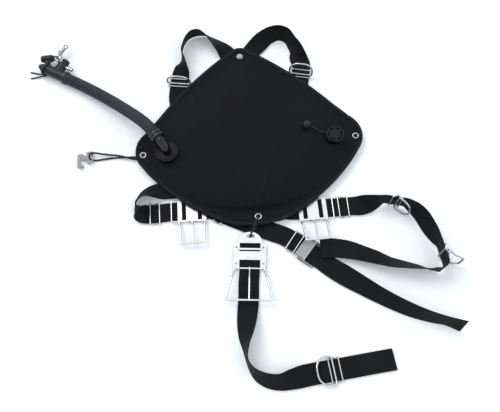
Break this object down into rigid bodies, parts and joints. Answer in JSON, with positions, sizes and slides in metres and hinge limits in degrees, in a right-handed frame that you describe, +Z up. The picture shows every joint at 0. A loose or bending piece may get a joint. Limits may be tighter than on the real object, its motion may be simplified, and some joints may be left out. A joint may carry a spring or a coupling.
{
  "type": "air pack",
  "caption": "Flat harness-mounted air bag with corrugated inflator hose, dump valve, webbing straps, rail plates, slides and D-rings.",
  "frame": {"origin": "centre line of the pack on the back face of the lumbar plate, which rests on the floor", "axes": "+Z up out of the back plates through the air bag, +Y towards the head end, +X to the right seen from above"},
  "size_m": [1.038, 1.006, 0.0884],
  "materials": {
    "binding_tape": "black binding tape",
    "bladder_film": "welded black film",
    "bright_metal": "bright plated metal",
    "bungee_cord": "black sheathed elastic cord",
    "button_plastic": "dark grey moulding",
    "clamp_band": "black tie band",
    "cover_cloth": "matte black woven nylon",
    "gloss_fitting": "glossy black moulding",
    "grommet_metal": "bright nickel eyelets",
    "hook_metal": "stainless steel sheet",
    "hose_rubber": "ribbed black rubber",
    "inflator_plastic": "satin black moulding",
    "knob_plastic": "black moulded ball",
    "mouth_rubber": "soft black rubber",
    "snap_metal": "cast stainless steel",
    "steel_plate": "satin stainless steel sheet",
    "steel_wire": "polished stainless steel wire",
    "valve_plastic": "satin black moulding",
    "webbing": "black woven webbing"
  },
  "bodies": {
    "harness": {"back_panel": "cover_cloth", "bolt_snap_body": "snap_metal", "bottom_bungee": "bungee_cord", "buckle_frame": "steel_plate", "buckle_pin": "steel_plate", "bungee_knot": "bungee_cord", "corner_grommets": "grommet_metal", "corrugated_hose": "hose_rubber", "crotch_hanger": "steel_plate", "crotch_rail_plate": "steel_plate", "crotch_strap": "webbing", "dump_pull_cord": "bungee_cord", "dump_pull_knob": "knob_plastic", "dump_spring": "bright_metal", "dump_valve_base": "valve_plastic", "dump_valve_cover": "valve_plastic", "edge_binding": "binding_tape", "elbow": "gloss_fitting", "elbow_flange": "gloss_fitting", "flange_ring_nut": "gloss_fitting", "front_panel": "cover_cloth", "hose_clamps": "clamp_band", "inflator_body": "inflator_plastic", "inflator_bungee": "bungee_cord", "inlet_nipple": "bright_metal", "inner_bladder": "bladder_film", "left_bungee": "bungee_cord", "left_hidden_slide": "steel_wire", "left_hook": "hook_metal", "left_rail_plate": "steel_plate", "left_shoulder_slide": "steel_wire", "left_shoulder_strap": "webbing", "left_waist_belt": "webbing", "lumbar_plate": "steel_plate", "mouthpiece": "mouth_rubber", "right_rail_plate": "steel_plate", "right_shoulder_slide": "steel_wire", "right_shoulder_strap": "webbing", "right_waist_belt": "webbing", "spine_strap": "webbing", "top_screw": "bright_metal", "upper_plate": "steel_plate", "waist_ring_a_slide": "steel_wire", "waist_ring_b_slide": "steel_wire"},
    "left_shoulder_ring": {"left_shoulder_ring": "steel_wire"},
    "right_shoulder_ring": {"right_shoulder_ring": "steel_wire"},
    "waist_ring_a": {"waist_ring_a": "steel_wire"},
    "waist_ring_b": {"waist_ring_b": "steel_wire"},
    "crotch_ring": {"crotch_ring": "steel_wire"},
    "buckle_lever": {"buckle_lever": "steel_plate"},
    "inflate_button": {"inflate_button": "button_plastic"},
    "deflate_button": {"deflate_button": "button_plastic"},
    "dump_poppet": {"dump_poppet": "valve_plastic"},
    "bolt_snap_gate": {"bolt_snap_gate": "snap_metal"},
    "bolt_snap_eye": {"bolt_snap_eye": "snap_metal"},
    "left_waist_slide": {"left_waist_slide": "steel_wire"},
    "right_waist_slide": {"right_waist_slide": "steel_wire"},
    "belt_keeper": {"belt_keeper": "steel_wire"},
    "crotch_slide": {"crotch_slide": "steel_wire"}
  },
  "joints": [
    {"name": "left_shoulder_ring_swing", "type": "hinge", "parent": "harness", "child": "left_shoulder_ring", "pos_m": [-0.17552, 0.39505, 0.0076], "axis": [-0.9848, 0.1736, 0], "range_deg": [-8, 56]},
    {"name": "right_shoulder_ring_swing", "type": "hinge", "parent": "harness", "child": "right_shoulder_ring", "pos_m": [0.16427, 0.39109, 0.0076], "axis": [-0.9703, 0.2419, 0], "range_deg": [-20, 56]},
    {"name": "waist_ring_a_swing", "type": "hinge", "parent": "harness", "child": "waist_ring_a", "pos_m": [0.34782, -0.02953, 0.0345], "axis": [0, 0, -1], "range_deg": [-20, 120]},
    {"name": "waist_ring_b_swing", "type": "hinge", "parent": "harness", "child": "waist_ring_b", "pos_m": [0.43814, -0.17258, 0.0345], "axis": [0, 0, 1], "range_deg": [-20, 120]},
    {"name": "crotch_ring_swing", "type": "hinge", "parent": "crotch_slide", "child": "crotch_ring", "pos_m": [0.13201, -0.41421, 0.0076], "axis": [-0.0698, 0.9976, 0], "range_deg": [-3, 150]},
    {"name": "buckle_lever_lift", "type": "hinge", "parent": "harness", "child": "buckle_lever", "pos_m": [0.11654, -0.12698, 0.008], "axis": [0.6691, 0.7431, 0], "range_deg": [0, 42]},
    {"name": "inflate_press", "type": "slide", "parent": "harness", "child": "inflate_button", "axis": [-0.5417, -0.8406, 0], "range_m": [0, 0.004], "stiffness_N_per_m": 400, "springref_m": -0.001},
    {"name": "deflate_press", "type": "slide", "parent": "harness", "child": "deflate_button", "axis": [0.8406, -0.5417, 0], "range_m": [0, 0.004], "stiffness_N_per_m": 400, "springref_m": -0.001},
    {"name": "dump_poppet_lift", "type": "slide", "parent": "harness", "child": "dump_poppet", "axis": [0, 0, 1], "range_m": [0, 0.0032], "stiffness_N_per_m": 300, "springref_m": -0.001, "deforming": ["dump_spring"]},
    {"name": "snap_gate_pull", "type": "slide", "parent": "harness", "child": "bolt_snap_gate", "axis": [0.5736, 0.8192, 0], "range_m": [0, 0.0078], "stiffness_N_per_m": 300, "springref_m": -0.001},
    {"name": "snap_eye_swivel", "type": "hinge", "parent": "harness", "child": "bolt_snap_eye", "pos_m": [-0.51432, 0.50596, 0.019], "axis": [0.5736, 0.8192, 0], "continuous": true},
    {"name": "left_waist_slide_shift", "type": "slide", "parent": "harness", "child": "left_waist_slide", "axis": [0.9998, -0.0175, 0], "range_m": [-0.004, 0.008]},
    {"name": "right_waist_slide_shift", "type": "slide", "parent": "harness", "child": "right_waist_slide", "axis": [0.9998, -0.0175, 0], "range_m": [-0.008, 0.008]},
    {"name": "keeper_shift", "type": "slide", "parent": "harness", "child": "belt_keeper", "axis": [0.7771, -0.6293, 0], "range_m": [-0.008, 0.008]},
    {"name": "crotch_slide_shift", "type": "slide", "parent": "harness", "child": "crotch_slide", "axis": [0.9976, 0.0698, 0], "range_m": [-0.008, 0.12]}
  ]
}
